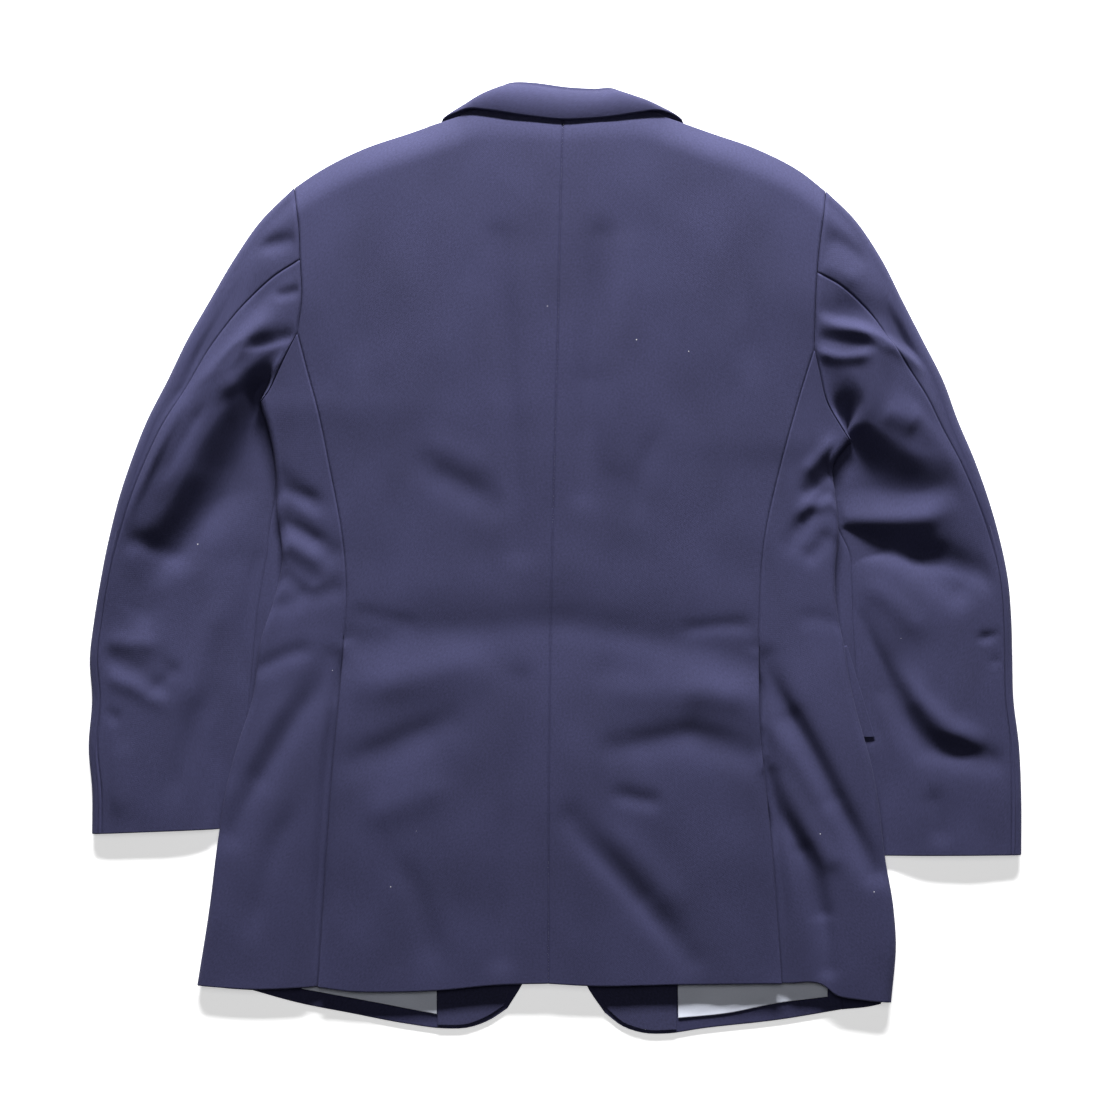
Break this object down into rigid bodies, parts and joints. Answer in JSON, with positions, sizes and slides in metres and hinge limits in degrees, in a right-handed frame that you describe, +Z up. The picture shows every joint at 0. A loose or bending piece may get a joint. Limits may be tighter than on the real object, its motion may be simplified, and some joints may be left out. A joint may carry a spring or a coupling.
{
  "type": "tailored blazer",
  "caption": "Navy tailored blazer with side vents, lying face down with its back up and its sleeves beside the body.",
  "frame": {"origin": "on the surface the blazer lies on, at the middle of its bounding box seen from above", "axes": "+Z up, out of the back of the blazer; +Y towards the collar; +X towards the wearer's right sleeve"},
  "size_m": [0.8232, 0.8383, 0.0349],
  "materials": {
    "suiting": "fine plain-weave navy worsted, matte",
    "lining": "mid-blue satin lining, soft sheen",
    "button": "dark horn-like, lightly polished"
  },
  "bodies": {
    "root": {"back_left": "suiting", "back_right": "suiting", "side_left": "suiting", "side_right": "suiting", "front_left": "suiting", "front_right": "suiting", "lapel_left": "suiting", "lapel_right": "suiting", "sleeve_left_top": "suiting", "sleeve_left_under": "suiting", "sleeve_right_top": "suiting", "sleeve_right_under": "suiting", "collar_fall": "suiting", "collar_stand": "suiting", "pocket_flap_left": "suiting", "pocket_flap_right": "suiting", "facing_left": "suiting", "facing_right": "suiting", "lining_left": "lining", "lining_right": "lining", "button_upper": "button", "button_lower": "button"}
  },
  "joints": []
}
